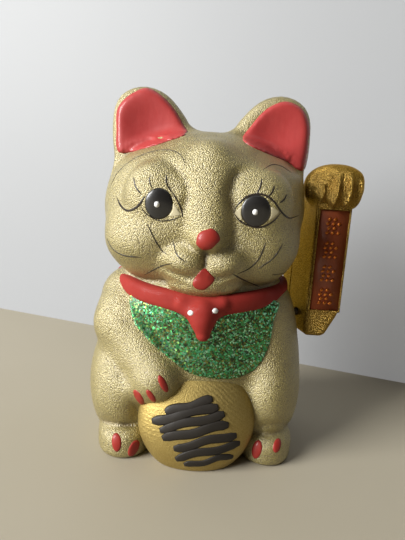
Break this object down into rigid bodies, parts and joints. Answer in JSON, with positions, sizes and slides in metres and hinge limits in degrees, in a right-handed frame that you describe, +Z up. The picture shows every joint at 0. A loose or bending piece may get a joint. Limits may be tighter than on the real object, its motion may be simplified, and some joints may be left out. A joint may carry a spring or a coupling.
{
  "type": "beckoning cat figurine",
  "caption": "Seated hollow-cast cat ornament whose raised plastic arm swings to and fro on a battery-driven magnetic pendulum.",
  "frame": {"origin": "middle of the base, on the surface that the figurine stands on", "axes": "+Z up, the cat faces -Y, +X towards its raised swinging arm"},
  "size_m": [0.1508, 0.1032, 0.1999],
  "materials": {
    "gold_paint": "satin metallic paint with a fine pebbled texture",
    "red_paint": "glossy brushed enamel",
    "black_paint": "glossy brushed enamel",
    "red_enamel": "glossy enamel over moulded relief",
    "green_glitter": "green glitter set in clear glue",
    "bright_gold_paint": "bright metallic paint over moulded relief",
    "black_plastic": "fine moulded texture",
    "white_plastic": "natural moulded plastic",
    "grey_plastic": "moulded plastic",
    "steel": "bright zinc plating",
    "spring_steel": "nickel plating",
    "weight_steel": "sheared steel block",
    "magnet": "ground ferrite",
    "board": "solder mask over laminate",
    "copper": "enamelled copper wire",
    "blue_sleeve": "shrink sleeve",
    "resistor_body": "dipped coating",
    "cell_jacket": "plain printed foil jacket",
    "red_insulation": "soft plastic insulation",
    "black_insulation": "soft plastic insulation",
    "gold_plastic": "vacuum-metallised moulding",
    "red_plastic": "translucent red lacquer over gold"
  },
  "bodies": {
    "cat": {"body_shell": "gold_paint", "ear_linings": "red_paint", "eyes": "black_paint", "nose_and_mouth": "red_paint", "claws": "red_paint", "collar": "red_enamel", "bell": "red_enamel", "bib": "green_glitter", "coin": "bright_gold_paint", "base_plate": "black_plastic", "pivot_frame": "white_plastic", "frame_screws": "steel", "circuit_board": "board", "board_screws": "steel", "coil_bobbin": "white_plastic", "drive_coil": "copper", "transistor": "black_plastic", "capacitor": "blue_sleeve", "resistors": "resistor_body", "battery_cell": "cell_jacket", "contact_spring": "spring_steel", "contact_plate": "spring_steel", "lead_red": "red_insulation", "lead_black": "black_insulation", "switch_body": "steel"},
    "swing_arm": {"arm_front_shell": "gold_plastic", "arm_back_shell": "gold_plastic", "arm_panel": "red_plastic", "arm_hub": "grey_plastic", "pivot_pin": "steel", "pin_clip": "spring_steel", "swing_lever": "white_plastic", "balance_weight": "weight_steel", "pendulum_magnet": "magnet"},
    "battery_door": {"battery_door": "black_plastic"},
    "switch_knob": {"switch_knob": "black_plastic"}
  },
  "joints": [
    {"name": "arm_swing", "type": "hinge", "parent": "cat", "child": "swing_arm", "pos_m": [0.02, 0, 0.076], "axis": [1, 0, 0], "range_deg": [-22, 22]},
    {"name": "door_hinge", "type": "hinge", "parent": "cat", "child": "battery_door", "pos_m": [-0.0105, 0.0333, 0.0009], "axis": [1, 0, 0], "range_deg": [0, 95]},
    {"name": "switch_slide", "type": "slide", "parent": "cat", "child": "switch_knob", "axis": [0, 1, 0], "range_m": [0, 0.003]}
  ]
}
